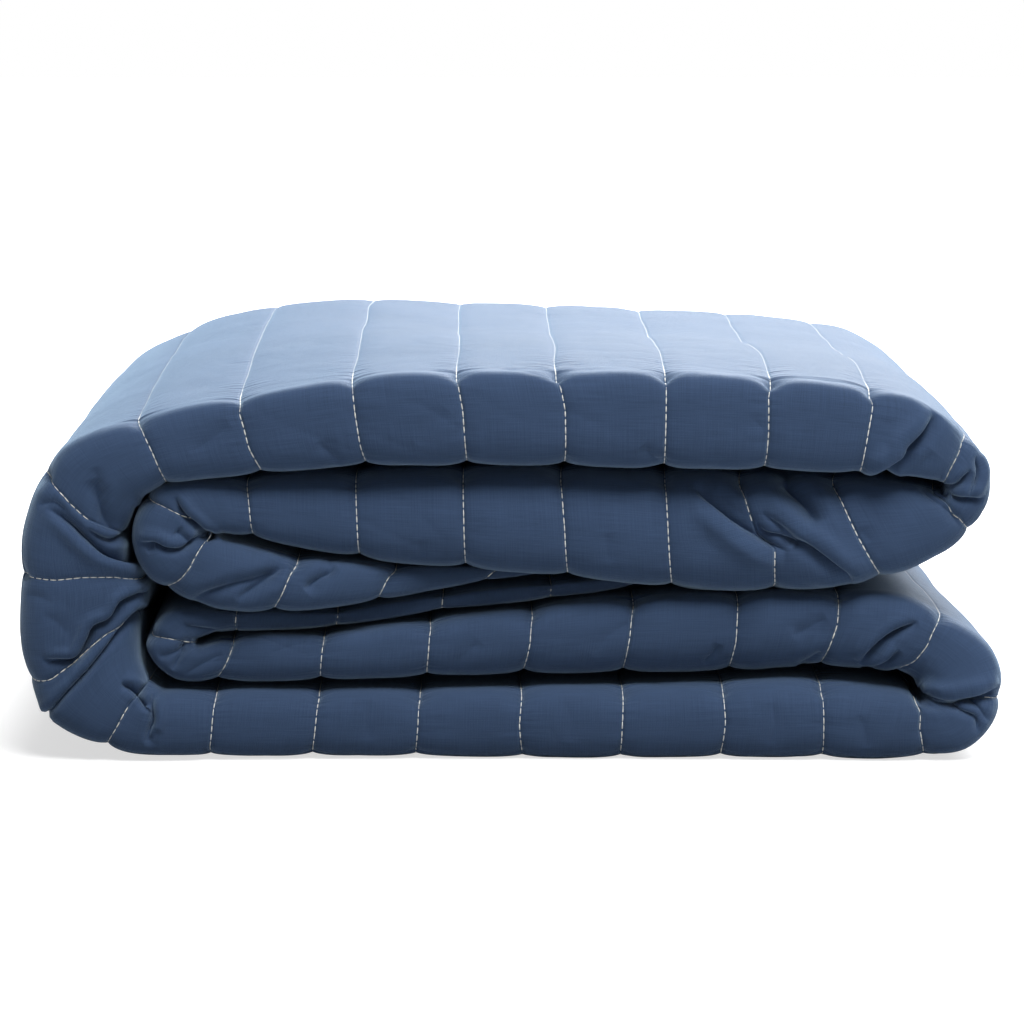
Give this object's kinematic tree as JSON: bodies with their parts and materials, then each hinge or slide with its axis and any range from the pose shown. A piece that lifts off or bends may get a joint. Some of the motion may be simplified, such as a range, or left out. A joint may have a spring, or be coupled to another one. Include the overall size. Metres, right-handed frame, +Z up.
{
  "type": "quilted bedspread, folded",
  "caption": "Folded quilted bedspread with evenly spaced rows of stitching, laid back and forth in a soft stack with a rounded front edge and open layers at the back.",
  "frame": {"origin": "middle of the folded stack's footprint, on the surface it rests on", "axes": "+Z up, -Y towards the rounded front edge, +X to the right as seen from the front"},
  "size_m": [0.491, 0.5842, 0.2022],
  "materials": {
    "quilted_cotton": "matte woven cotton, mid navy"
  },
  "bodies": {
    "root": {"bedspread": "quilted_cotton"}
  },
  "joints": []
}
